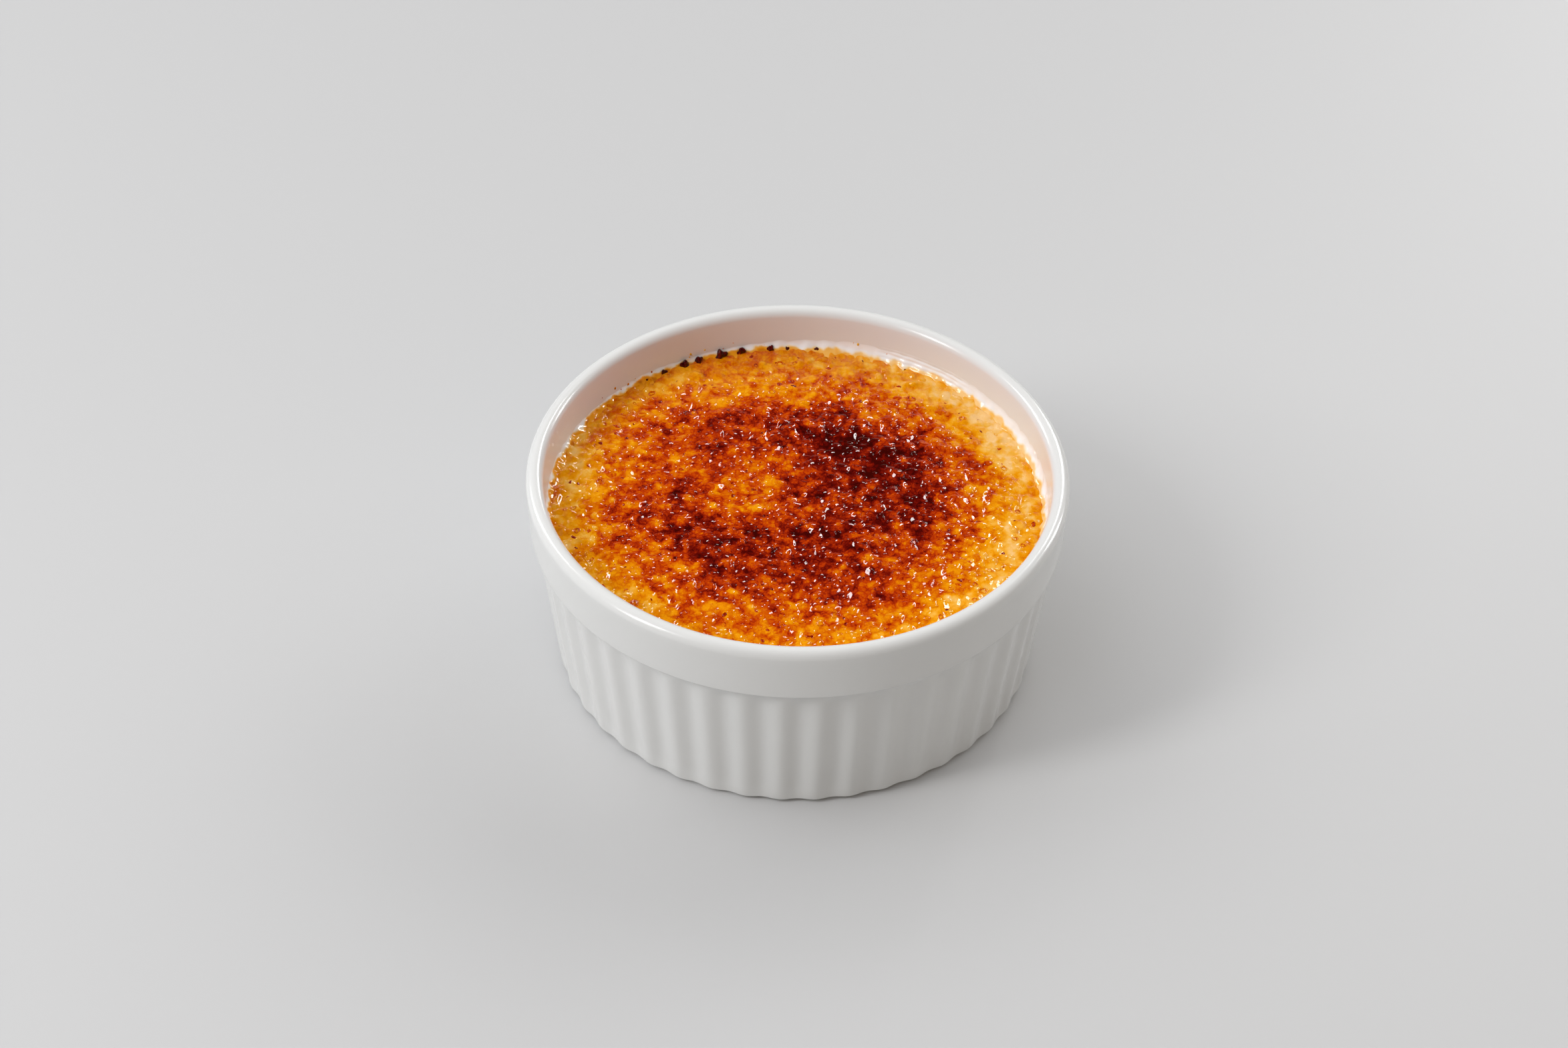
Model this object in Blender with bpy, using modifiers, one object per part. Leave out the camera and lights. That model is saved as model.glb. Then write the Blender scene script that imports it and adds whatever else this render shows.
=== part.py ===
"""A creme brulee in the fluted porcelain ramekin that it is baked and served in.

Three solids, each a turned profile finished by a rule:
  ramekin         white porcelain dish with a plain rim band, ribbed wall and foot ring
  custard         the set cream that fills the dish up to the caramel
  caramel_crust   the torched sugar lid, whose top is blistered and climbs a little at the wall

The dish stands on Z = 0 with its centre line on the Z axis. All sizes are in metres.
"""

import math

import bmesh
import bpy
from mathutils import Vector, noise

# Ramekin, outside
RIM_RADIUS = 0.0500
HEIGHT = 0.0420
LIP_RISE = 0.0019  # height of the lip's rounded top
BAND_FOOT_RADIUS = 0.0495  # the rim band narrows a little downwards
BAND_FOOT_HEIGHT = 0.0314
BAND_COVE = 0.0008  # height of the soft step under the band
RIB_TOP_RADIUS = 0.0486  # crests of the ribs, just under the band
RIB_FOOT_RADIUS = 0.0452
RIB_FOOT_HEIGHT = 0.0026
FOOT_ROUND = 0.0013
FOOT_RING_WIDTH = 0.0030
FOOT_RECESS = 0.0009

# Ribs
RIB_COUNT = 44
RIB_DEPTH = 0.0007  # from a crest to the groove beside it
RIB_FADE = 0.0022  # height over which the grooves run out under the band
FOOT_GROOVE_SHARE = 0.55  # how much of the grooves' depth is left at the foot
RIB_TURN = math.radians(-2.5)

# Ramekin, inside
FLOOR_HEIGHT = 0.0046
FLOOR_ROUND = 0.0060
INNER_FOOT_RADIUS = 0.0432  # where the wall would meet the floor without its rounding
FILL_HEIGHT = 0.0338  # above this line the inner wall stands steeper
INNER_FILL_RADIUS = 0.0464
INNER_RIM_RADIUS = 0.0468

# Contents
GAP = 0.0003  # between neighbouring solids
CUSTARD_TOP = 0.0318
CRUST_DISH = 0.0005  # how far the caramel lies below its edge across the middle
CREEP_WIDTH = 0.0030  # width of the strip where the caramel climbs the wall
BLISTER_HEIGHT = 0.00060
BLISTER_SPACING = 0.0080

STEPS_PER_RIB = 4
DISH_STEPS = RIB_COUNT * STEPS_PER_RIB
CUSTARD_STEPS = 64
CRUST_STEPS = 72
CRUST_RINGS = 12
LIP_STEPS = 6
FLOOR_STEPS = 3
FOOT_STEPS = 2
MERGE = 0.00005


def clear_scene():
    for obj in list(bpy.data.objects):
        bpy.data.objects.remove(obj, do_unlink=True)


def new_collection(name):
    collection = bpy.data.collections.new(name)
    bpy.context.scene.collection.children.link(collection)
    return collection


def principled(name, colour, roughness, subsurface=0.0):
    """A material with one Principled BSDF of this linear colour and roughness."""
    material = bpy.data.materials.new(name)
    material.use_nodes = True
    shader = material.node_tree.nodes["Principled BSDF"]
    shader.inputs["Base Color"].default_value = (*colour, 1.0)
    shader.inputs["Roughness"].default_value = roughness
    shader.inputs["Metallic"].default_value = 0.0
    shader.inputs["Subsurface Weight"].default_value = subsurface
    return material


def arc(centre, width, rise, start, end, steps):
    """Points (r, z) on an elliptic arc about centre, between two angles in degrees from +r."""
    points = []
    for i in range(steps + 1):
        angle = math.radians(start + (end - start) * i / steps)
        points.append((centre[0] + width * math.cos(angle), centre[1] + rise * math.sin(angle)))
    return points


def between(value, low, high, at_low, at_high):
    """Follows a straight line from at_low to at_high as the value goes from low to high."""
    return at_low + (at_high - at_low) * (value - low) / (high - low)


def inner_radius(height):
    """Radius of the dish's inner wall at this height, leaving out its rounding at the floor."""
    if height < FILL_HEIGHT:
        return between(height, FLOOR_HEIGHT, FILL_HEIGHT, INNER_FOOT_RADIUS, INNER_FILL_RADIUS)
    return between(height, FILL_HEIGHT, HEIGHT - LIP_RISE, INNER_FILL_RADIUS, INNER_RIM_RADIUS)


def crest_radius(height):
    """Radius of the rib crests at this height."""
    return between(height, RIB_FOOT_HEIGHT, BAND_FOOT_HEIGHT - BAND_COVE, RIB_FOOT_RADIUS, RIB_TOP_RADIUS)


def floor_corner(inset):
    """The rounding from floor to inner wall, or of a filling that keeps this inset from them."""
    height = FLOOR_HEIGHT + FLOOR_ROUND
    reach = FLOOR_ROUND - inset
    return arc((inner_radius(height) - FLOOR_ROUND, height), reach, reach, -90, 0, FLOOR_STEPS)


def turned(name, profile, steps, collection):
    """A solid turned about Z from (r, z) points that run outwards, down and back to the axis."""
    mesh = bpy.data.meshes.new(name + "_profile")
    edges = [(i, i + 1) for i in range(len(profile) - 1)]
    mesh.from_pydata([(r, 0.0, z) for r, z in profile], edges, [])
    guide = bpy.data.objects.new(name + "_profile", mesh)
    collection.objects.link(guide)

    screw = guide.modifiers.new("Turn", "SCREW")
    screw.steps = screw.render_steps = steps
    screw.use_merge_vertices = True
    screw.merge_threshold = MERGE
    bpy.context.view_layer.update()
    graph = bpy.context.evaluated_depsgraph_get()
    solid = bpy.data.meshes.new_from_object(guide.evaluated_get(graph))
    bpy.data.objects.remove(guide)
    bpy.data.meshes.remove(mesh)

    obj = bpy.data.objects.new(name, solid)
    solid.name = name
    collection.objects.link(obj)
    return obj


def move_vertices(obj, rule):
    """Moves every vertex of the object to where the rule puts it."""
    shape = bmesh.new()
    shape.from_mesh(obj.data)
    for vertex in shape.verts:
        vertex.co = rule(vertex.co)
    shape.to_mesh(obj.data)
    shape.free()


def ease(value, low, high):
    """0 below low, 1 above high, with an even ease between them."""
    share = min(1.0, max(0.0, (value - low) / (high - low)))
    return share * share * (3.0 - 2.0 * share)


def press_ribs(point):
    """Draws the outer wall in between the rib crests, less under the band and at the foot."""
    radius = math.hypot(point.x, point.y)
    groove_top = BAND_FOOT_HEIGHT - BAND_COVE
    wall_middle = 0.5 * (inner_radius(point.z) + crest_radius(point.z))
    if radius < wall_middle or point.z > groove_top:
        return point
    groove = 0.5 - 0.5 * math.cos(RIB_COUNT * math.atan2(point.y, point.x))
    under_band = 1.0 - ease(point.z, groove_top - RIB_FADE, groove_top)
    at_foot = FOOT_GROOVE_SHARE + (1.0 - FOOT_GROOVE_SHARE) * ease(point.z, 0.0, 2 * RIB_FOOT_HEIGHT)
    drawn = 1.0 - RIB_DEPTH * groove * under_band * at_foot / radius
    return Vector((point.x * drawn, point.y * drawn, point.z))


def ramekin(collection):
    """The dish, from the middle of its floor, over the lip, down the ribs to the foot."""
    inside = [(0.0, FLOOR_HEIGHT)] + floor_corner(0.0) + [(INNER_FILL_RADIUS, FILL_HEIGHT)]
    half_lip = (RIM_RADIUS - INNER_RIM_RADIUS) / 2
    lip = arc((RIM_RADIUS - half_lip, HEIGHT - LIP_RISE), half_lip, LIP_RISE, 180, 0, LIP_STEPS)
    groove_top = BAND_FOOT_HEIGHT - BAND_COVE
    wall = [
        (BAND_FOOT_RADIUS, BAND_FOOT_HEIGHT),
        (RIB_TOP_RADIUS, groove_top),
        (crest_radius(groove_top - RIB_FADE), groove_top - RIB_FADE),
        (RIB_FOOT_RADIUS, RIB_FOOT_HEIGHT),
    ]
    ring_radius = RIB_FOOT_RADIUS - FOOT_ROUND
    foot = arc((ring_radius, FOOT_ROUND), FOOT_ROUND, FOOT_ROUND, -30, -90, FOOT_STEPS)
    ring_inside = ring_radius - FOOT_RING_WIDTH
    under = [(ring_inside, 0.0), (ring_inside - FOOT_RECESS, FOOT_RECESS), (0.0, FOOT_RECESS)]

    dish = turned("ramekin", inside + lip + wall + foot + under, DISH_STEPS, collection)
    move_vertices(dish, press_ribs)
    dish.rotation_euler.z = RIB_TURN
    dish.data.materials.append(principled("glazed_porcelain", (0.80, 0.80, 0.79), 0.12))
    return dish


def custard(collection):
    """The set cream, a gap clear of the dish all round."""
    profile = [(0.0, CUSTARD_TOP), (inner_radius(CUSTARD_TOP) - GAP, CUSTARD_TOP)]
    profile += reversed(floor_corner(GAP))
    profile += [(0.0, FLOOR_HEIGHT + GAP)]
    cream = turned("custard", profile, CUSTARD_STEPS, collection)
    cream.data.materials.append(principled("baked_custard", (0.78, 0.55, 0.22), 0.45, 0.3))
    return cream


def caramel_crust(collection):
    """The brittle sugar lid, a gap clear of the custard and of the wall."""
    under = CUSTARD_TOP + GAP
    edge = inner_radius(under) - GAP

    def climb(radius):
        return ease(radius, edge - CREEP_WIDTH, edge)

    def blister(point):
        if point.z < under + GAP:
            return point
        place = Vector((point.x, point.y, 0.0)) / BLISTER_SPACING
        rough = noise.noise(place) + 0.5 * noise.noise(2.1 * place)
        flat = 1.0 - climb(math.hypot(point.x, point.y))
        return point + Vector((0.0, 0.0, BLISTER_HEIGHT * rough * flat))

    rings = [edge * i / CRUST_RINGS for i in range(CRUST_RINGS + 1)]
    profile = [(radius, FILL_HEIGHT - CRUST_DISH * (1.0 - climb(radius))) for radius in rings]
    profile += [(edge, under), (0.0, under)]
    lid = turned("caramel_crust", profile, CRUST_STEPS, collection)
    move_vertices(lid, blister)
    lid.data.materials.append(principled("torched_caramel", (0.55, 0.14, 0.01), 0.10, 0.2))
    return lid


def main():
    clear_scene()
    collection = new_collection("creme_brulee")
    dish = ramekin(collection)
    for filling in (custard(collection), caramel_crust(collection)):
        filling.parent = dish
    for obj in collection.objects:
        obj.data.shade_smooth()
        obj.data.set_sharp_from_angle(angle=math.radians(40))


main()
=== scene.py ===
import math

import bpy
import numpy as np
from mathutils import Matrix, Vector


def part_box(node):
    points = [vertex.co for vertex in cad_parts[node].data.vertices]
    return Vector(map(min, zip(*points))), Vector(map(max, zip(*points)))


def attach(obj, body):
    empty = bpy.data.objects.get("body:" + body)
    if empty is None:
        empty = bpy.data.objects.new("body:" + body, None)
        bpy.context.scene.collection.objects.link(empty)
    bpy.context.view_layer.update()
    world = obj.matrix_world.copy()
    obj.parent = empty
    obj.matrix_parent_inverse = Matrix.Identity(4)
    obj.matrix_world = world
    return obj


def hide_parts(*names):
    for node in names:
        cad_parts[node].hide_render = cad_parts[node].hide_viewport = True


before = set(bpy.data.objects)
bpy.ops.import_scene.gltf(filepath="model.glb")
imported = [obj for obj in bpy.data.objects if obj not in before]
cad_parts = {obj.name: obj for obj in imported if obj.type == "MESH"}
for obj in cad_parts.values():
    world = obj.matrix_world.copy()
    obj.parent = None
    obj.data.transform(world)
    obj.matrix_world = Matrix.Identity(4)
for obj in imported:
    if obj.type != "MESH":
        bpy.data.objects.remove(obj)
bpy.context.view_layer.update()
print("frame loaded:", sorted(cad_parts))

mm = 0.001
wholeTurn = 2 * math.pi
arcStep = 14  # degrees of a rounding from one point to the next

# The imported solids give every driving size, here in millimetres
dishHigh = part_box("ramekin")[1]
crustLow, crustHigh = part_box("caramel_crust")
rimRadius = dishHigh.x / mm
dishHeight = dishHigh.z / mm
crustRadius = crustHigh.x / mm
crustUnder = crustLow.z / mm


def ease(value, low, high):
    # 0 below low and 1 above high, with the smooth step 3t^2 - 2t^3 between them
    share = np.clip((value - low) / (high - low), 0, 1)
    return share * share * (3 - 2 * share)


def randomAt(column, row, seed):
    # A repeatable random number from 0 to 1 for each square of a lattice: its whole-numbered place
    # times large odd numbers, with the bits folded over each other twice
    mixed = (column * 374761393 + row * 668265263 + seed * 974634777) & 0xFFFFFFFF
    mixed = ((mixed ^ (mixed >> 13)) * 1274126177) & 0xFFFFFFFF
    return ((mixed ^ (mixed >> 16)) & 0xFFFFFF) / 0xFFFFFF


def waves(x, y, size, seed):
    # Gradient noise, about -1 to 1: each lattice corner has a slope in a random direction, and a
    # point takes the four slopes round it, blended by the quintic ease 6t^5 - 15t^4 + 10t^3
    column, row = np.floor(x / size).astype(np.int64), np.floor(y / size).astype(np.int64)
    across, up = x / size - column, y / size - row
    total = 0
    for right in (0, 1):
        for above in (0, 1):
            direction = randomAt(column + right, row + above, seed) * wholeTurn
            slope = np.cos(direction) * (across - right) + np.sin(direction) * (up - above)
            near = [1 - abs(across - right), 1 - abs(up - above)]
            blend = [t * t * t * (t * (t * 6 - 15) + 10) for t in near]
            total = total + slope * blend[0] * blend[1]
    return total * 1.6


def makePiece(name, points, faces, smooth=True):
    # Points in millimetres and faces as rows of corner numbers become a mesh in metres
    mesh = bpy.data.meshes.new(name)
    mesh.from_pydata((points * mm).tolist(), [], [list(face) for face in faces])
    if smooth:
        mesh.shade_smooth()
    mesh.update()
    piece = bpy.data.objects.new(name, mesh)
    bpy.context.scene.collection.objects.link(piece)
    return piece


def addNumbers(piece, name, values):
    attribute = piece.data.attributes.new(name, "FLOAT", "POINT")
    attribute.data.foreach_set("value", np.asarray(values, np.float32))


def gridFaces(rows, columns, wrap):
    # The four corners of each cell of a grid of points, row by row. With wrap, the last column
    # joins the first
    row, column = np.mgrid[0 : rows - 1, 0 : columns if wrap else columns - 1]
    after = (column + 1) % columns
    corners = [row * columns + column, row * columns + after, (row + 1) * columns + after]
    corners.append((row + 1) * columns + column)
    return np.stack([c.ravel() for c in corners], 1)


def roundedPath(corners):
    # A path through (r, z) corners, each with the radius of its rounding and the number of steps on
    # the straight that follows. A rounding is an arc that touches both straights
    bends = []
    for i, (r, z, rounding, steps) in enumerate(corners):
        here = np.array([r, z], float)
        bend = here[None, :]
        if rounding:
            back = np.array(corners[i - 1][:2], float) - here
            ahead = np.array(corners[i + 1][:2], float) - here
            back, ahead = back / np.hypot(*back), ahead / np.hypot(*ahead)
            half = math.acos(np.clip(back @ ahead, -1, 1)) / 2
            middle = (back + ahead) / np.hypot(*(back + ahead))
            centre = here + middle * rounding / math.sin(half)
            first = here + back * rounding / math.tan(half) - centre
            last = here + ahead * rounding / math.tan(half) - centre
            sweep = math.pi - 2 * half
            count = max(2, math.ceil(sweep / math.radians(arcStep)))
            share = np.linspace(0, 1, count + 1)[:, None]
            arc = np.sin((1 - share) * sweep) * first + np.sin(share * sweep) * last
            bend = centre + arc / math.sin(sweep)
        bends.append(bend)
    path = [bends[0]]
    for before, after, corner in zip(bends, bends[1:], corners):
        share = np.linspace(0, 1, corner[3] + 1)[1:-1, None]
        path += [before[-1] * (1 - share) + after[0] * share, after]
    return np.concatenate(path)


def turnedPoints(path, columns, shape=None):
    # A path turned about the Z axis: its radius times cosine and sine of the angle. shape changes
    # the radius by angle and height
    radius, angle = np.meshgrid(path[:, 0], np.arange(columns) / columns * wholeTurn, indexing="ij")
    height = np.repeat(path[:, 1][:, None], columns, 1)
    if shape:
        radius = shape(radius, angle, height)
    points = np.stack([radius * np.cos(angle), radius * np.sin(angle), height], -1)
    return points.reshape(-1, 3)


def closedFaces(rows, columns):
    # Bands of quads between rings of points, and a fan of triangles to the point at each pole. The
    # top pole's number follows the rings' numbers, and then comes the bottom pole's
    here = np.arange(columns)
    after = (here + 1) % columns
    top, last = rows * columns, (rows - 1) * columns
    faces = gridFaces(rows, columns, True)[:, ::-1].tolist()
    faces += np.stack([np.full(columns, top), here, after], 1).tolist()
    faces += np.stack([np.full(columns, top + 1), last + after, last + here], 1).tolist()
    return faces


def turnedPiece(name, path, columns, shape=None):
    # Runs outwards over the top, down and back to the axis, with one point at each pole
    points = turnedPoints(path[1:-1], columns, shape)
    points = np.vstack([points, [[0, 0, path[0, 1]], [0, 0, path[-1, 1]]]])
    return makePiece(name, points, closedFaces(len(path) - 2, columns))


def colour(hexCode):
    # sRGB hex to linear red, green, blue and alpha
    parts = [int(hexCode[i : i + 2], 16) / 255 for i in (1, 3, 5)]
    linear = [p / 12.92 if p <= 0.04045 else ((p + 0.055) / 1.055) ** 2.4 for p in parts]
    return (*linear, 1)


def addNode(material, kind, settings=None, links=None):
    # Adds a node, with values for its sockets or properties, and links {socket: output}
    node = material.node_tree.nodes.new(kind)
    for name, value in (settings or {}).items():
        if isinstance(name, int) or name in node.inputs:
            node.inputs[name].default_value = value
        else:
            setattr(node, name, value)
    for name, output in (links or {}).items():
        material.node_tree.links.new(output, node.inputs[name])
    return node


def newMaterial(name, settings):
    material = bpy.data.materials.new(name)
    material.use_nodes = True
    material.node_tree.nodes.clear()
    shader = addNode(material, "ShaderNodeBsdfPrincipled", settings)
    addNode(material, "ShaderNodeOutputMaterial", links={"Surface": shader.outputs[0]})
    return material, shader


def addRamp(material, factor, stops):
    # A colour ramp with (place, sRGB hex) stops
    ramp = addNode(material, "ShaderNodeValToRGB", links={"Fac": factor})
    elements = ramp.color_ramp.elements
    while len(elements) < len(stops):
        elements.new(0.5)
    for element, (place, hexCode) in zip(elements, stops):
        element.position = place
        element.color = colour(hexCode)
    return ramp.outputs["Color"]


dish = {
    "ribs": 44,
    "ribDepth": 0.7,
    "ribTurn": -2.5,  # degrees
    "ribFade": 2.2,  # height over which the grooves run out under the band
    "footShare": 0.55,  # of the grooves' depth that is left at the foot
    "footFade": 5.0,  # height over which they reach their full depth
    "columnsPerRib": 12,
    "floor": 4.6,  # height of the floor inside
    "floorRound": 6.0,
    "fillHeight": 33.8,  # above this the inner wall stands steeper
    "fillRadius": 46.4,
    "mouthRadius": 46.8,
    "lipRound": 1.58,
    "bandFoot": 31.2,
    "grooveTop": 30.6,
    "ringRecess": 0.9,  # height of the hollow inside the foot ring
    "wallMiddle": 43.5,  # radius halfway through the wall at the foot
    "wallLean": 0.1,  # how much that grows with each millimetre of height
}


def wallRadius(height):
    # The inner wall's radius above the filling's edge: a straight line up to the lip
    share = (height - dish["fillHeight"]) / (dishHeight - dish["fillHeight"])
    return dish["fillRadius"] + share * (dish["mouthRadius"] - dish["fillRadius"])


def pressRibs(radius, angle, height):
    # Outside, the radius loses a share of the rib depth: half of one minus the cosine of the angle
    # times the number of ribs, less under the band and at the foot
    groove = 0.5 - 0.5 * np.cos(dish["ribs"] * (angle - math.radians(dish["ribTurn"])))
    fade = 1 - ease(height, dish["grooveTop"] - dish["ribFade"], dish["grooveTop"])
    foot = dish["footShare"] + (1 - dish["footShare"]) * ease(height, 0, dish["footFade"])
    wallMiddle = dish["wallMiddle"] + dish["wallLean"] * height
    outside = ease(radius, wallMiddle, wallMiddle + 0.9)
    return radius - dish["ribDepth"] * groove * fade * foot * outside


def glazedPorcelain():
    # Slip-cast white porcelain under clear glaze: bright, cool white, with sharp reflections that
    # waver a little because the glaze flowed
    material, shader = newMaterial("glazedPorcelain", {
        "Base Color": colour("#E2E2E0"), "Roughness": 0.21, "IOR": 1.5,
    })
    place = addNode(material, "ShaderNodeTexCoord").outputs["Object"]
    flow = addNode(material, "ShaderNodeTexNoise",
                   {"Scale": 1 / (9 * mm), "Detail": 2.0, "Roughness": 0.4}, {"Vector": place})
    bump = addNode(material, "ShaderNodeBump", {"Strength": 0.35, "Distance": 0.05 * mm},
                   {"Height": flow.outputs["Fac"]})
    material.node_tree.links.new(bump.outputs[0], shader.inputs["Normal"])
    return material


def makeDish():
    corners = [  # radius, height, rounding, and steps on the straight that follows
        (0, dish["floor"], 0, 6),
        (43.2, dish["floor"], dish["floorRound"], 8),
        (dish["fillRadius"], dish["fillHeight"], 12.0, 6),
        (dish["mouthRadius"], dishHeight, dish["lipRound"], 1),  # the lip, inside and outside
        (rimRadius, dishHeight, dish["lipRound"], 8),
        (49.5, dish["bandFoot"], 0.5, 1),  # the step under the band
        (48.62, dish["grooveTop"], 0.45, 22),
        (45.17, 0.95, 0.9, 1),  # the ribs' lower ends and the chamfer below them
        (44.3, 0.42, 0.3, 1),
        (43.9, 0, 0.25, 2),  # the foot ring
        (40.9, 0, 0.5, 1),
        (40.1, dish["ringRecess"], 0.6, 6),
        (0, dish["ringRecess"], 0, 0),
    ]
    piece = turnedPiece("glazed_ramekin", roundedPath(corners), dish["ribs"] * dish["columnsPerRib"],
                        pressRibs)
    piece.data.materials.append(glazedPorcelain())
    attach(piece, "root")
    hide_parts("ramekin")
    print("dish:", len(piece.data.polygons), "faces")


makeDish()


custard = {
    "radius": 46.3,  # the wall is at 46.2, so no gap shows
    "footRadius": 43.35,
    "bottom": 4.4,
    "footRound": 6.0,
}


def bakedCustard():
    # Cream and yolks set in a water bath: dense, pale yellow, soft and faintly translucent, with
    # dark specks of vanilla seed
    material, shader = newMaterial("bakedCustard", {
        "Roughness": 0.38, "IOR": 1.42, "Subsurface Weight": 0.3,
        "Subsurface Radius": (1.0, 0.6, 0.25), "Subsurface Scale": 1.5 * mm,
    })
    place = addNode(material, "ShaderNodeTexCoord").outputs["Object"]
    cloud = addNode(material, "ShaderNodeTexNoise", {"Scale": 1 / (6 * mm), "Detail": 3.0},
                    {"Vector": place})
    body = addRamp(material, cloud.outputs["Fac"], [(0.3, "#EBC878"), (0.7, "#F3D894")])
    seeds = addNode(material, "ShaderNodeTexVoronoi", {"Scale": 1 / (2.5 * mm)}, {"Vector": place})
    speck = addRamp(material, seeds.outputs["Distance"], [(0.05, "#FFFFFF"), (0.07, "#000000")])
    mixed = addNode(material, "ShaderNodeMix", {"data_type": "RGBA", 7: colour("#3A2414")},
                    {0: speck, 6: body})
    material.node_tree.links.new(mixed.outputs[2], shader.inputs["Base Color"])
    return material


def makeCustard():
    # Fills the dish to the caramel and reaches a little into its wall
    corners = [
        (0, crustUnder, 0, 6),
        (custard["radius"], crustUnder, 0, 6),
        (custard["footRadius"], custard["bottom"], custard["footRound"], 6),
        (0, custard["bottom"], 0, 0),
    ]
    piece = turnedPiece("custard_filling", roundedPath(corners), 160)
    piece.data.materials.append(bakedCustard())
    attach(piece, "root")
    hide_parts("custard")
    print("custard:", len(piece.data.polygons), "faces")


makeCustard()


caramel = {
    "cells": 310,  # across the sheet
    "level": 33.2,  # height of the caramel in the middle of the dish
    "wallReach": 0.75,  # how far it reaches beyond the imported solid, into the porcelain
    "wallClimb": 0.16,  # how far it climbs the wall
    "climbWidth": 2.2,
    "swell": 0.2,  # heights of the broad unevenness, the lumps and the ripples
    "lumps": 0.38,
    "ripples": 0.03,
    "amber": 0.395,  # how dark the sugar is where no torch mark reaches, 0 to 1
    "palest": 0.23,  # and at its palest, away from the pools at the edge
    "bubbleSpacing": 1.75,  # about one bubble in each square of this size
    "bubbleShare": 0.9,
    "bubbleReach": 44.5,  # from the dish's axis
    "smallestBubble": 0.5,
    "largestBubble": 1.25,
}

# Where the torch lingered or passed by, and at the left edge painted light as well: x, y, half
# length, half width, turn in degrees, and how much darker (or lighter, below 0) than plain amber
torchMarksAndPaintedLight = [
    (5, 19, 11, 6.5, -20, 0.38),
    (18, 10, 14, 7.5, -50, 0.36),
    (4, 5, 8, 6, -30, 0.28),
    (-14, 24, 10, 3.5, 15, 0.24),
    (-13, 14, 5, 4, 40, 0.26),
    (24, 20, 7, 5, -50, 0.14),
    (-27, 12, 4, 3, -20, 0.12),
    (-19, 5, 5, 4, 30, 0.16),
    (-24, -4, 10, 6, -20, 0.22),
    (-31, -3, 4, 4, 0, 0.12),
    (-16, -13, 8, 5, -40, 0.28),
    (-14, -22, 6, 4, 0, 0.20),
    (-2, -13, 9, 7, 10, 0.28),
    (8, -5, 12, 6, 0, 0.22),
    (10, -17, 8, 5, 10, 0.22),
    (22, -4, 7, 7, 20, 0.24),
    (5, -25, 9, 5, 15, 0.16),
    (14, -26, 6, 2.5, 10, 0.12),
    (-8, 5, 7, 5, 10, -0.06),
    (6, -33, 16, 5, 0, -0.08),
    (-8, 31, 10, 4, 5, -0.12),
    (-34, 4, 6, 10, 0, -0.08),
    (29, 33, 16, 7, -40, -0.3),
    (38, 20, 10, 5, -60, -0.28),
    (32, -5, 5, 7, 0, -0.14),
    (41, 2, 5, 16, 0, -0.2),
    (38, -14, 6, 12, -25, -0.18),
    (28, -30, 14, 6, 40, -0.22),
    (4, -39, 16, 4, 0, -0.10),
    (-29, -31, 14, 6, -42, -0.18),
    # Partly the pale gold of the sugar pooled at the left edge, partly painted light that lightens the
    # edge the rim keeps in shade
    (-42, 2, 5, 24, 0, -0.26),
    (-34, -22, 12, 5, -45, -0.10),
    (-30, 32, 14, 5, 40, -0.15),
    (8, 43, 14, 4, 0, -0.12),
    (-10, 38, 16, 6, 10, -0.11),
]


def torched(x, y):
    # How dark the sugar is burnt, 0 for bare custard to 1 for char, with painted light at the left
    # edge: plain amber plus every mark, a bell of its height over the turned and stretched distance
    # from its centre
    warpX = x + 2.2 * waves(x, y, 6, 11) + 0.9 * waves(x, y, 2.3, 12)
    warpY = y + 2.2 * waves(x, y, 6, 13) + 0.9 * waves(x, y, 2.3, 14)
    toast = np.full_like(x, caramel["amber"])
    for centreX, centreY, length, width, turn, strength in torchMarksAndPaintedLight:
        cosine, sine = math.cos(math.radians(turn)), math.sin(math.radians(turn))
        along = (cosine * (warpX - centreX) + sine * (warpY - centreY)) / length
        across = (cosine * (warpY - centreY) - sine * (warpX - centreX)) / width
        toast += strength * np.exp(-0.9 * (along**2 + across**2))
    return toast


def folds(x, y, size, seed):
    # Rounded lumps with creases between them: the size of the noise, whatever its sign
    return np.sqrt(waves(x, y, size, seed) ** 2 + 0.004)


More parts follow.
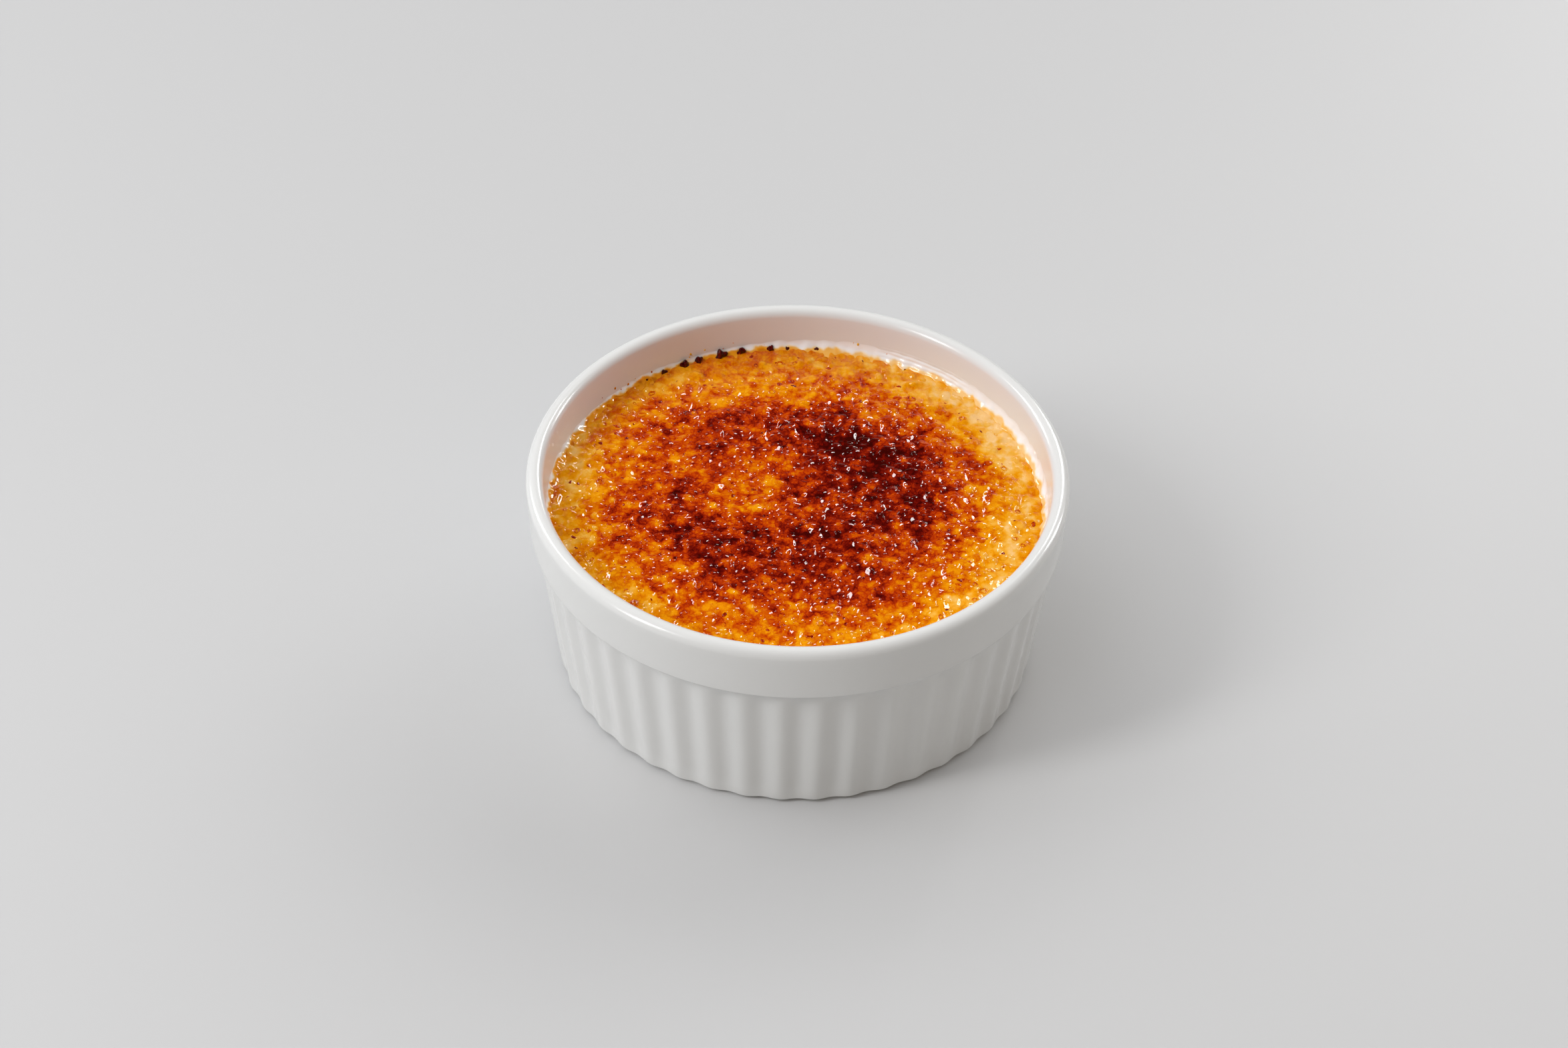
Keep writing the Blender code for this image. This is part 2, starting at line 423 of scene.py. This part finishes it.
def surfaceAt(x, y):
    # The caramel's top at any point, in millimetres: a broad swell, glassy lumps with creases
    # between them and a few fine ripples. Where the sugar pooled the lumps are smooth and round, and
    # at the wall it climbs in scallops. Its tone is the torch's, with a mottle, creases darkened partly
    # by deeper sugar and partly by painted shade, and thin wisps of char. Gives its height, how dark
    # it is burnt and shaded, and how far it pooled
    radius = np.hypot(x, y)
    angle = np.arctan2(y, x)
    edge = crustRadius + caramel["wallReach"]
    toast = torched(x, y)

    pool = ease(radius + 2.5 * waves(x, y, 5, 23), 36.5, 41.5)
    pool = np.maximum(pool, ease(0.3 - toast, 0, 0.15))

    swell = caramel["swell"] * (waves(x, y, 9, 21) + 0.6 * waves(x, y, 4.2, 22))
    warpX = 1.2 * x + 0.6 * waves(x, y, 2.9, 24)
    warpY = 0.85 * y + 0.6 * waves(x, y, 2.9, 25)
    lumps = folds(warpX, warpY, 3.3, 26) + 0.4 * folds(warpX, warpY, 1.9, 27)
    glassy = 0.6 * waves(warpX, warpY, 2.3, 28) + 0.6 * waves(warpX, warpY, 1.35, 29)
    ripple = np.cos(wholeTurn * (0.6 * y + 0.35 * x + 1.6 * waves(x, y, 5, 51)) / 1.1)
    ripple = caramel["ripples"] * ripple * ease(waves(x, y, 7, 52), 0.1, 0.5)
    relief = caramel["lumps"] * ((lumps - 0.5) * (1 - pool) + glassy * pool) + ripple
    leftwards = ease(-x, 5, 30)
    relief += (0.07 + 0.06 * pool) * (1 + leftwards) * waves(warpX, warpY, 1.15, 30)

    scallops = waves(angle * edge, radius * 0.3, 2.6, 61)
    climb = ease(radius, edge - caramel["climbWidth"], edge - 0.3) ** 1.5
    lift = caramel["wallClimb"] * climb * (1 + 1.2 * ease(y, 15, 42) + 0.8 * scallops)
    wisps = ease(0.16 - abs(waves(0.45 * x + 0.4 * waves(x, y, 3, 77), y, 2.1, 75)), 0, 0.14)
    wisps *= ease(waves(x, y, 7, 76), -0.1, 0.35) * (1 - pool)
    height = caramel["level"] + swell * (1 - climb) + relief * (1 - 0.6 * climb) + lift

    mottle = 0.21 * waves(x, y, 3.4, 71) + 0.15 * waves(x, y, 1.6, 72) + 0.07 * waves(x, y, 0.8, 73)
    # Darker in the creases between the lumps: partly deeper sugar, partly painted shade
    creaseSugarAndShade = 0.25 * (0.5 - lumps)
    edgeTone = 0.09 * waves(angle * edge, radius, 1.5, 62) - 0.05 * scallops
    toast = toast + 0.16 * wisps + (1 - 0.5 * pool) * (mottle + creaseSugarAndShade) + climb * edgeTone
    toast = np.maximum(toast, caramel["palest"] * (1 - pool))
    return height, toast, pool


def discPlaces(count):
    # A square grid laid over the unit disc without pinched cells: concentric squares become
    # concentric circles, each point keeping its share of the way round its square
    a, b = np.meshgrid(np.linspace(-1, 1, count + 1), np.linspace(-1, 1, count + 1))
    wide = abs(a) > abs(b)
    radius = np.where(wide, a, b)
    other = np.where(wide, b, a)
    safe = np.where(radius == 0, 1, radius)
    turn = np.where(wide, other / safe * math.pi / 4, math.pi / 2 - other / safe * math.pi / 4)
    return radius * np.cos(turn), radius * np.sin(turn)


def torchedCaramel():
    # Sugar melted and burnt by a torch flame: hard, clear, wet-looking glass over the custard,
    # golden where thin, amber to dark red where thick or burnt, and nearly black where charred.
    # Burst and frozen bubbles leave cells a millimetre wide, each its own tone, with dark seams
    material, shader = newMaterial("torchedCaramel", {
        "Roughness": 0.3, "Specular IOR Level": 0.0, "Coat Weight": 1.0, "Coat Roughness": 0.05,
        "Coat IOR": 1.37,
    })
    place = addNode(material, "ShaderNodeTexCoord").outputs["Object"]
    toast = addNode(material, "ShaderNodeAttribute", {"attribute_name": "toast"})
    fine = addNode(material, "ShaderNodeTexNoise",
                   {"Scale": 1 / (0.5 * mm), "Detail": 3.0, "Roughness": 0.65}, {"Vector": place})
    crumpled = addNode(material, "ShaderNodeVectorMath",
                       {"operation": "MULTIPLY_ADD", 1: (0.5 * mm,) * 3},
                       {0: fine.outputs["Color"], 2: place})
    cells = addNode(material, "ShaderNodeTexVoronoi", {"Scale": 1 / (1.15 * mm)},
                    {"Vector": crumpled.outputs[0]})
    seams = addNode(material, "ShaderNodeTexVoronoi",
                    {"feature": "DISTANCE_TO_EDGE", "Scale": 1 / (1.15 * mm)},
                    {"Vector": crumpled.outputs[0]})
    seamTone = addNode(material, "ShaderNodeMapRange",
                       {"From Min": 0.0, "From Max": 0.16, "To Min": 0.09, "To Max": -0.03},
                       {"Value": seams.outputs["Distance"]})
    withCells = addNode(material, "ShaderNodeMath", {"operation": "MULTIPLY_ADD", 1: 0.14},
                        {0: cells.outputs["Color"], 2: seamTone.outputs[0]})
    withFine = addNode(material, "ShaderNodeMath", {"operation": "MULTIPLY_ADD", 1: 0.42},
                       {0: fine.outputs["Fac"], 2: withCells.outputs[0]})
    grain = addNode(material, "ShaderNodeTexNoise",
                    {"Scale": 1 / (0.22 * mm), "Detail": 1.0}, {"Vector": place})
    withGrain = addNode(material, "ShaderNodeMath", {"operation": "MULTIPLY_ADD", 1: 0.2},
                        {0: grain.outputs["Fac"], 2: withFine.outputs[0]})
    speckle = addNode(material, "ShaderNodeMath", {"operation": "SUBTRACT", 1: 0.39},
                      {0: withGrain.outputs[0]})
    thick = addNode(material, "ShaderNodeMapRange",
                    {"From Min": 0.12, "From Max": 0.5, "To Min": 0.2, "To Max": 1.0},
                    {"Value": toast.outputs["Fac"]})
    total = addNode(material, "ShaderNodeMath", {"operation": "MULTIPLY_ADD"},
                    {0: speckle.outputs[0], 1: thick.outputs[0], 2: toast.outputs["Fac"]})
    tone = addRamp(material, total.outputs[0], [
        (0.00, "#F6C680"), (0.08, "#F4B648"), (0.18, "#EE9C0A"), (0.29, "#DE7D04"), (0.40, "#CE5C03"),
        (0.52, "#BE3C04"), (0.64, "#9E2606"), (0.76, "#761205"), (0.88, "#5A0804"), (1.00, "#3C0603"),
    ])
    material.node_tree.links.new(tone, shader.inputs["Base Color"])
    # Light comes back from the flat custard through the clear sugar, so the body is shaded as if
    # nearly flat, and only the skin's highlights follow the relief
    slope = addNode(material, "ShaderNodeNewGeometry").outputs["Normal"]
    upwards = addNode(material, "ShaderNodeVectorTransform",
                      {"vector_type": "NORMAL", "convert_from": "OBJECT", "convert_to": "WORLD",
                       "Vector": (0, 0, 1)})
    flatter = addNode(material, "ShaderNodeVectorMath",
                      {"operation": "MULTIPLY_ADD", 1: (1.6,) * 3}, {0: upwards.outputs[0], 2: slope})
    facing = addNode(material, "ShaderNodeVectorMath", {"operation": "NORMALIZE"},
                     {0: flatter.outputs[0]})
    material.node_tree.links.new(facing.outputs[0], shader.inputs["Normal"])
    return material


caramelMaterial = torchedCaramel()


def makeSheet():
    # The sheet's top is surfaceAt over the disc. A skirt hangs from its border, the grid's outermost
    # points in order, to a flat underside
    edge = crustRadius + caramel["wallReach"]
    count = caramel["cells"]
    unitX, unitY = discPlaces(count)
    x, y = unitX.ravel() * edge, unitY.ravel() * edge
    height, toast, pool = surfaceAt(x, y)
    top = np.stack([x, y, height], 1)
    side = count + 1
    border = np.concatenate([
        np.arange(side), np.arange(2 * side - 1, side * side, side),
        np.arange(side * side - 2, side * side - side - 1, -1),
        np.arange(side * (side - 2), 0, -side),
    ])
    below = top[border].copy()
    below[:, 2] = crustUnder
    points = np.vstack([top, below])
    ring = len(top) + np.arange(len(border))
    after = np.roll(np.arange(len(border)), -1)
    faces = gridFaces(side, side, False).tolist()
    faces += np.stack([border, ring, ring[after], border[after]], 1).tolist()
    faces.append(ring[::-1].tolist())
    piece = makePiece("caramel_sheet", points, faces)
    addNumbers(piece, "toast", np.concatenate([toast, toast[border]]))
    piece.data.materials.append(caramelMaterial)
    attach(piece, "root")
    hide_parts("caramel_crust")
    print("caramel sheet:", len(piece.data.polygons), "faces")


makeSheet()


def scatteredPlaces(spacing, share, seed, reach):
    # One place at most in each square of a lattice, moved off its middle at random, within reach
    # of the dish's axis. Gives x, y and three random numbers for each
    count = int(reach / spacing) + 2
    column, row = [c.ravel() for c in np.mgrid[-count:count, -count:count]]
    x = (column + 0.1 + 0.8 * randomAt(column, row, seed)) * spacing
    y = (row + 0.1 + 0.8 * randomAt(column, row, seed + 1)) * spacing
    keep = (np.hypot(x, y) < reach) & (randomAt(column, row, seed + 2) < share)
    chance = np.stack([randomAt(column, row, seed + k) for k in (3, 4, 5)])
    return x[keep], y[keep], chance[:, keep]


def turnedShape(profile, sides):
    # A small shape turned about its own axis from (radius, height) pairs, the first on the axis,
    # with its faces: triangles round the tip and bands of quads below
    turn = np.arange(sides) / sides * wholeTurn
    rings = [np.array([[0, 0, profile[0][1]]])]
    for radius, height in profile[1:]:
        level = np.full(sides, height)
        rings.append(np.stack([radius * np.cos(turn), radius * np.sin(turn), level], 1))
    here = np.arange(sides)
    after = (here + 1) % sides
    faces = np.stack([np.zeros(sides, int), 1 + here, 1 + after], 1).tolist()
    faces += (gridFaces(len(profile) - 1, sides, True)[:, ::-1] + 1).tolist()
    return np.concatenate(rings), faces


def copiedFaces(faces, count, pointsEach):
    # The faces of many copies of one shape, whose points follow each other
    start = np.arange(count)[:, None] * pointsEach
    copies = []
    for face in faces:
        copies += (start + np.array(face)).tolist()
    return copies


def makeBubbles():
    # Bubbles risen in the boiling sugar: each a paraboloid cap, height = h (1 - (d / r)^2), that
    # follows the caramel under it and dips in at its foot
    x, y, chance = scatteredPlaces(caramel["bubbleSpacing"], caramel["bubbleShare"], 101,
                                   caramel["bubbleReach"])
    pool = surfaceAt(x, y)[2]
    keep = chance[1] > 0.15 + 0.4 * pool
    x, y, chance = x[keep, None], y[keep, None], chance[:, keep, None]
    size = caramel["largestBubble"] - caramel["smallestBubble"]
    radius = caramel["smallestBubble"] + size * chance[0] ** 1.5
    rise = radius * (0.18 + 0.16 * chance[1])
    stretch = 0.8 + 0.4 * chance[2]
    shape, faces = turnedShape([(0, 0), (0.35, 0), (0.65, 0), (0.9, 0), (1.1, 0)], 10)
    away = np.hypot(shape[:, 0], shape[:, 1])
    px = x + radius * stretch * shape[:, 0]
    py = y + radius / stretch * shape[:, 1]
    height, toast, pool = surfaceAt(px, py)
    pz = 0.6 * height + 0.4 * height[:, :1] + rise * (1 - away**2) - 0.04
    points = np.stack([px, py, pz], -1).reshape(-1, 3)
    piece = makePiece("caramel_bubbles", points, copiedFaces(faces, len(x), len(shape)))
    # A random tone for each bubble, plus painted shade: lighter at its top and darker towards its foot
    toneAndShade = 0.1 * chance[2] - 0.06 + 0.05 * (away - 0.6)
    addNumbers(piece, "toast", (0.5 * (toast[:, :1] + toast) + toneAndShade).ravel())
    piece.data.materials.append(caramelMaterial)
    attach(piece, "root")
    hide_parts("caramel_crust")
    print("bubbles:", len(x), "with", len(piece.data.polygons), "faces")


makeBubbles()


def scatter(name, shape, faces, x, y, turn, size, toastFor):
    # Many copies of one small shape, each turned and sized in its own way, a little crumpled, riding
    # on the caramel. shape holds (x, y, height above the caramel) for a size of 1. toastFor gives
    # each point's tone from the caramel's tone and pooling there
    x, y, size = x[:, None], y[:, None], size[:, None]
    cosine, sine = np.cos(turn)[:, None], np.sin(turn)[:, None]
    px = x + size * (cosine * shape[:, 0] - sine * shape[:, 1])
    py = y + size * (sine * shape[:, 0] + cosine * shape[:, 1])
    pushX, pushY = 0.3 * size * waves(px, py, 0.9, 91), 0.3 * size * waves(px, py, 0.9, 92)
    px, py = px + pushX, py + pushY
    height, toast, pool = surfaceAt(px, py)
    points = np.stack([px, py, height + size * shape[:, 2]], -1).reshape(-1, 3)
    piece = makePiece(name, points, copiedFaces(faces, len(x), len(shape)))
    addNumbers(piece, "toast", toastFor(toast, pool).ravel())
    piece.data.materials.append(caramelMaterial)
    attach(piece, "root")
    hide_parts("caramel_crust")
    print(name + ":", len(x), "with", len(piece.data.polygons), "faces")


craters = {
    "spacing": 3.3,
    "share": 0.34,
    "smallest": 0.3,  # radii
    "largest": 0.8,
    "reach": 43.5,
}


def makeCraters():
    # Bubbles that burst while the sugar boiled: a sunken floor, a thin raised rim and a dark ring
    profile = [(0, -0.06), (0.45, -0.05), (0.72, 0.08), (0.95, 0.22), (1.15, 0.12), (1.35, -0.12)]
    sides = 12
    darker = np.repeat([0.3, 0.34, 0.3, 0.1, 0.14, 0], [1] + [sides] * 5)
    shape, faces = turnedShape(profile, sides)
    shape[:, 1] *= 0.78
    x, y, chance = scatteredPlaces(craters["spacing"], craters["share"], 201, craters["reach"])
    size = craters["smallest"] + (craters["largest"] - craters["smallest"]) * chance[0]
    scatter("burst_bubbles", shape, faces, x, y, chance[1] * wholeTurn, size,
            lambda toast, pool: toast + darker * (0.4 + 0.6 * pool))


grains = {
    "spacing": 2.6,
    "share": 0.34,
    "smallest": 0.14,  # radii
    "largest": 0.48,
    "reach": 45.2,
}


def makeGrains():
    # Grains of sugar that charred before they melted, a little flattened
    shape, faces = turnedShape([(0, 0.3), (0.6, 0.24), (1.0, 0), (0.9, -0.3)], 7)
    shape[1:, 0] *= 1.6
    x, y, chance = scatteredPlaces(grains["spacing"], grains["share"], 301, grains["reach"])
    size = grains["smallest"] + (grains["largest"] - grains["smallest"]) * chance[0] ** 2
    scatter("burnt_grains", shape, faces, x, y, chance[1] * wholeTurn, size,
            lambda toast, pool: np.maximum(toast + 0.15, 0.45 + 0.3 * chance[2][:, None]))


makeCraters()
makeGrains()


beads = {
    "radius": 45.9,  # where their middles lie, just inside the wall
    "wallRadius": 46.1,
    "depth": 0.55,  # their shares of their size off the wall and along it
    "width": 0.9,
    "sink": 0.35,
    "runDown": 1.3,  # how far their lower halves are drawn out
}

# Drops of sugar that boiled up the wall behind and charred there: degrees round the dish, height
# over the caramel's edge and radius
wallBeads = [
    (130.2, 0.4, 0.45),
    (125.3, 0.4, 0.8),
    (119.5, 0.45, 1.1),
    (115.7, 0.45, 1.1),
    (109.9, 0.6, 1.3),
    (104.7, 0.8, 0.9),
    (97.4, 0.7, 0.8),
    (93.3, 0.5, 0.55),
    (86.1, 0.5, 0.6),
]


def makeWallBeads():
    # Each bead is a ball squashed against the wall: its radius swells and dips with two sines of
    # the directions and with noise, and its lower half runs down into the caramel
    rows, columns = 13, 20
    tilt, turn = np.meshgrid(np.linspace(0, math.pi, rows), np.arange(columns) / columns * wholeTurn,
                             indexing="ij")
    balls = []
    for number, (polar, lift, size) in enumerate(wallBeads):
        wobble = 1 + 0.16 * np.sin(3 * turn + 1.7 * number) * np.sin(tilt) ** 2
        wobble += 0.12 * np.sin(2 * turn + 4 * np.cos(tilt) + number) * np.sin(tilt)
        wobble += 0.35 * waves(np.sin(tilt) * np.sin(turn) + 9 * number, np.cos(tilt), 0.7, 93)
        outwards = beads["depth"] * size * wobble * np.sin(tilt) * np.cos(turn)
        along = beads["width"] * size * wobble * np.sin(tilt) * np.sin(turn)
        up = size * wobble * np.cos(tilt)
        up = np.where(up < 0, up * beads["runDown"], up)
        radius = beads["radius"] + outwards
        angle = math.radians(polar) + along / beads["wallRadius"]
        height = caramel["level"] + lift - beads["sink"] + up
        tone = 0.96 + 0.1 * np.sin(5 * turn + number) - 0.3 * (up < -0.3 * size)
        ball = np.stack([radius * np.cos(angle), radius * np.sin(angle), height, tone], -1)
        balls.append(np.vstack([ball[1:-1].reshape(-1, 4), ball[0, 0], ball[-1, 0]]))
    faces = copiedFaces(closedFaces(rows - 2, columns), len(balls), len(balls[0]))
    whole = np.concatenate(balls)
    piece = makePiece("burnt_wall_beads", whole[:, :3], faces)
    addNumbers(piece, "toast", whole[:, 3])
    piece.data.materials.append(caramelMaterial)
    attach(piece, "root")
    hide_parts("caramel_crust")
    print("wall beads:", len(wallBeads))


makeWallBeads()


splashes = {
    "count": 46,
    "arcStart": 35,  # degrees round the dish
    "arcWidth": 115,
    "smallest": 0.1,  # radii
    "largest": 0.36,
    "lowest": 0.9,  # heights over the caramel
    "highest": 2.5,
}


def makeSplashes():
    # Fine amber spots that the boiling sugar spat on the wall behind: flat caps seen from the axis
    chance = [randomAt(np.arange(splashes["count"]), 0, seed)[:, None] for seed in (401, 402, 403, 404)]
    size = splashes["smallest"] + (splashes["largest"] - splashes["smallest"]) * chance[2] ** 3
    shape, faces = turnedShape([(0, 0.12), (0.6, 0.08), (1, -0.08)], 8)
    across, up, proud = shape.T
    polar = np.radians(splashes["arcStart"] + splashes["arcWidth"] * chance[0])
    lift = splashes["lowest"] + (splashes["highest"] - splashes["lowest"]) * chance[1] ** 2
    height = caramel["level"] + lift + size * up * 1.3
    angle = polar + size * across / dish["fillRadius"]
    radius = wallRadius(height) - proud
    points = np.stack([radius * np.cos(angle), radius * np.sin(angle), height], -1).reshape(-1, 3)
    inwards = [face[::-1] for face in faces]
    piece = makePiece("wall_splashes", points, copiedFaces(inwards, len(size), len(shape)))
    addNumbers(piece, "toast", np.repeat(0.05 + 0.4 * chance[3], len(shape)))
    piece.data.materials.append(caramelMaterial)
    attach(piece, "root")
    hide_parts("caramel_crust")
    print("splashes:", len(size))


makeSplashes()


film = {
    "reach": 1.7,  # over the caramel
    "rise": 1.8,  # up the wall
    "backRise": 1.6,  # as much more at the back right
    "gold": 0.6,  # how golden it is at the caramel, 0 to 1
    "smudges": 0.17,
    "radius": 46,  # at which lengths round the dish are counted
}


def milkyFilm():
    # A film of cream and sugar dried on the glaze, smooth and shiny: white where it is thin, and
    # golden to brown where the caramel ran into it
    material, shader = newMaterial("milkyFilm", {"Roughness": 0.1, "IOR": 1.45})
    tone = addNode(material, "ShaderNodeAttribute", {"attribute_name": "tone"})
    body = addRamp(material, tone.outputs["Fac"], [
        (0.0, "#E2E2E0"), (0.15, "#F2F2F2"), (0.35, "#F4E2C0"), (0.55, "#F4BC60"),
        (0.75, "#F09C1A"), (1.0, "#B4540C"),
    ])
    material.node_tree.links.new(body, shader.inputs["Base Color"])
    return material


def makeFilm():
    # A hollow fillet between caramel and wall: a quarter ellipse from the caramel's edge up to the
    # wall. Its reach along both comes and goes round the dish, and fine streaks run along it
    rows, columns = 28, 900
    share, angle = np.meshgrid(np.linspace(0, 1, rows), np.arange(columns) / columns * wholeTurn,
                               indexing="ij")
    around = angle * film["radius"]
    reach = film["reach"] + 0.5 * waves(around, 0, 9, 81) + 0.35 * waves(around, 0, 2.4, 82)
    rise = film["rise"] + 0.4 * waves(around, 0, 11, 83) + 0.3 * waves(around, 0, 2.9, 84)
    rise += film["backRise"] * ease(np.cos(angle - math.radians(40)), 0.3, 0.95)
    turn = share * math.pi / 2
    height = caramel["level"] - 0.15 + rise * (1 - np.cos(turn))
    radius = wallRadius(height) + 0.03 - reach * (1 - np.sin(turn))
    uneven = 0.2 + 0.25 * ease(-np.cos(angle), 0.3, 0.9)
    radius -= uneven * waves(around, height, 1.8, 87) * np.sin(2 * turn) ** 2
    streaked = ease(np.cos(angle - math.radians(58)), 0.965, 0.995)
    wavy = height + 0.1 * waves(around, 0, 5, 88)
    radius -= 0.06 * streaked * np.cos(wholeTurn * wavy / 0.8)
    points = np.stack([radius * np.cos(angle), radius * np.sin(angle), height], -1).reshape(-1, 3)
    piece = makePiece("milky_film", points, gridFaces(rows, columns, True).tolist())
    blotch = waves(around, 2 * share, 2.6, 85) + 0.5 * waves(around, 3 * share, 1.1, 86)
    above = height - caramel["level"]
    golden = ease(1.1 - above + 0.5 * blotch, 0, 0.75)
    golden *= 1 - 0.42 * ease(np.cos(angle - math.radians(25)), 0.1, 0.8)
    smudge = ease(waves(around, 1.4 * height, 1.7, 89), 0.1, 0.6)
    tone = 0.15 * ease(1 - share, 0, 0.3) + golden * (film["gold"] + film["smudges"] * smudge)
    addNumbers(piece, "tone", tone.ravel())
    piece.data.materials.append(milkyFilm())
    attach(piece, "root")
    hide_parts("caramel_crust")
    print("film:", len(piece.data.polygons), "faces")


makeFilm()


def makeFloor():
    # A plain pale table top, honed
    material, shader = newMaterial("honedPaleTop", {
        "Base Color": colour("#C8C8C8"), "Roughness": 0.5, "Specular IOR Level": 0.3,
    })
    far = 2000
    points = np.array([[-far, -far, 0], [far, -far, 0], [far, far, 0], [-far, far, 0]], float)
    floor = makePiece("floor", points, [(0, 1, 2, 3)], smooth=False)
    floor.data.materials.append(material)


camera = {
    "lens": 70,
    "distance": 588.06,
    "elevation": 43.45,
    "aimRight": 0.00339,  # how far off the middle of the frame the dish's foot lies, as tangents
    "aimUp": -0.0357,
    "roll": 1.28,  # degrees
}


def makeCamera():
    # Looks down at the dish from the front
    elevation, roll = math.radians(camera["elevation"]), math.radians(camera["roll"])
    back = np.array([0, -math.cos(elevation), math.sin(elevation)])
    right = np.array([1.0, 0, 0])
    up = np.cross(back, right)
    target = np.array([camera["aimRight"], camera["aimUp"], -1.0])
    target /= np.linalg.norm(target)
    ahead = np.array([0, 0, -1.0])
    axis = np.cross(target, ahead)
    cross = np.array([[0, -axis[2], axis[1]], [axis[2], 0, -axis[0]], [-axis[1], axis[0], 0]])
    swing = np.eye(3) + cross + cross @ cross * (1 - target @ ahead) / (axis @ axis)
    cosine, sine = math.cos(roll), math.sin(roll)
    tilt = np.array([[cosine, -sine, 0], [sine, cosine, 0], [0, 0, 1]])
    turn = np.stack([right, up, back], 1) @ tilt @ swing
    matrix = np.eye(4)
    matrix[:3, :3] = turn
    matrix[:3, 3] = back * camera["distance"] * mm
    data = bpy.data.cameras.new("camera")
    data.lens = camera["lens"]
    data.sensor_width = 36
    data.clip_start = 0.01
    viewer = bpy.data.objects.new("camera", data)
    bpy.context.scene.collection.objects.link(viewer)
    viewer.matrix_world = Matrix(matrix)
    bpy.context.scene.camera = viewer


lightDistance = 1.3  # metres from the dish
lightAim = 0.03  # height they face, in metres
roomLight = 0.17

# Tall narrow windows that glint on the glaze and the caramel, and soft wide walls. Each has its
# azimuth from +X towards +Y and its elevation in degrees, its width and height in metres, its watts,
# its colour and what it gives: glints only, soft light only, or both
studio = [
    ("leftWindow", 206, 38, 0.24, 0.6, 6.2, "#FFFFFF", "both"),
    ("backLeftWindow", 142, 34, 0.14, 0.62, 5.2, "#FFFFFF", "glints"),
    ("backRightWindow", 64, 32, 0.14, 0.62, 5.4, "#FFFFFF", "glints"),
    ("lowRightWindow", 31, 22, 0.15, 0.5, 4.6, "#FFFFFF", "glints"),
    ("leftWall", 212, 62, 1.2, 1.2, 6.1, "#F6F9FF", "soft"),
    ("backLeftWall", 142, 40, 1.3, 1.0, 5.2, "#FFFFFF", "soft"),
    ("backRightWall", 64, 38, 1.3, 1.0, 5.4, "#FFFFFF", "soft"),
    ("lowRightWall", 31, 26, 1.1, 0.8, 4.6, "#FFFFFF", "soft"),
    ("lowLeftWall", 180, 15, 0.6, 0.5, 1.6, "#FFFFFF", "soft"),
    ("frontRoom", 300, 40, 1.2, 1.0, 1.8, "#FFE6C8", "soft"),
]


def addLight(name, azimuth, elevation, width, height, watts, hexCode, gives):
    # An area light that faces the dish from its direction
    a, e = math.radians(azimuth), math.radians(elevation)
    data = bpy.data.lights.new(name, "AREA")
    data.shape = "RECTANGLE"
    data.size, data.size_y = width, height
    data.energy = watts
    data.color = colour(hexCode)[:3]
    light = bpy.data.objects.new(name, data)
    bpy.context.scene.collection.objects.link(light)
    across = lightDistance * math.cos(e)
    light.location = (across * math.cos(a), across * math.sin(a),
                      lightDistance * math.sin(e) + lightAim)
    light.rotation_euler = (math.pi / 2 - e, 0, a + math.pi / 2)
    light.visible_glossy = gives != "soft"
    light.visible_diffuse = gives != "glints"


def makeStudio():
    # The lights, and a dim even room that lights but isn't mirrored
    for settings in studio:
        addLight(*settings)
    world = bpy.data.worlds.new("studio")
    world.use_nodes = True
    sky = world.node_tree.nodes["Background"]
    sky.inputs["Color"].default_value = colour("#FFFFFF")
    path = world.node_tree.nodes.new("ShaderNodeLightPath")
    dim = world.node_tree.nodes.new("ShaderNodeMapRange")
    dim.inputs["To Min"].default_value = roomLight
    dim.inputs["To Max"].default_value = 0.0
    world.node_tree.links.new(path.outputs["Is Glossy Ray"], dim.inputs["Value"])
    world.node_tree.links.new(dim.outputs[0], sky.inputs["Strength"])
    bpy.context.scene.world = world
    bpy.context.scene.view_settings.view_transform = "Standard"


makeFloor()
makeCamera()
makeStudio()
print("floor, camera and lights")
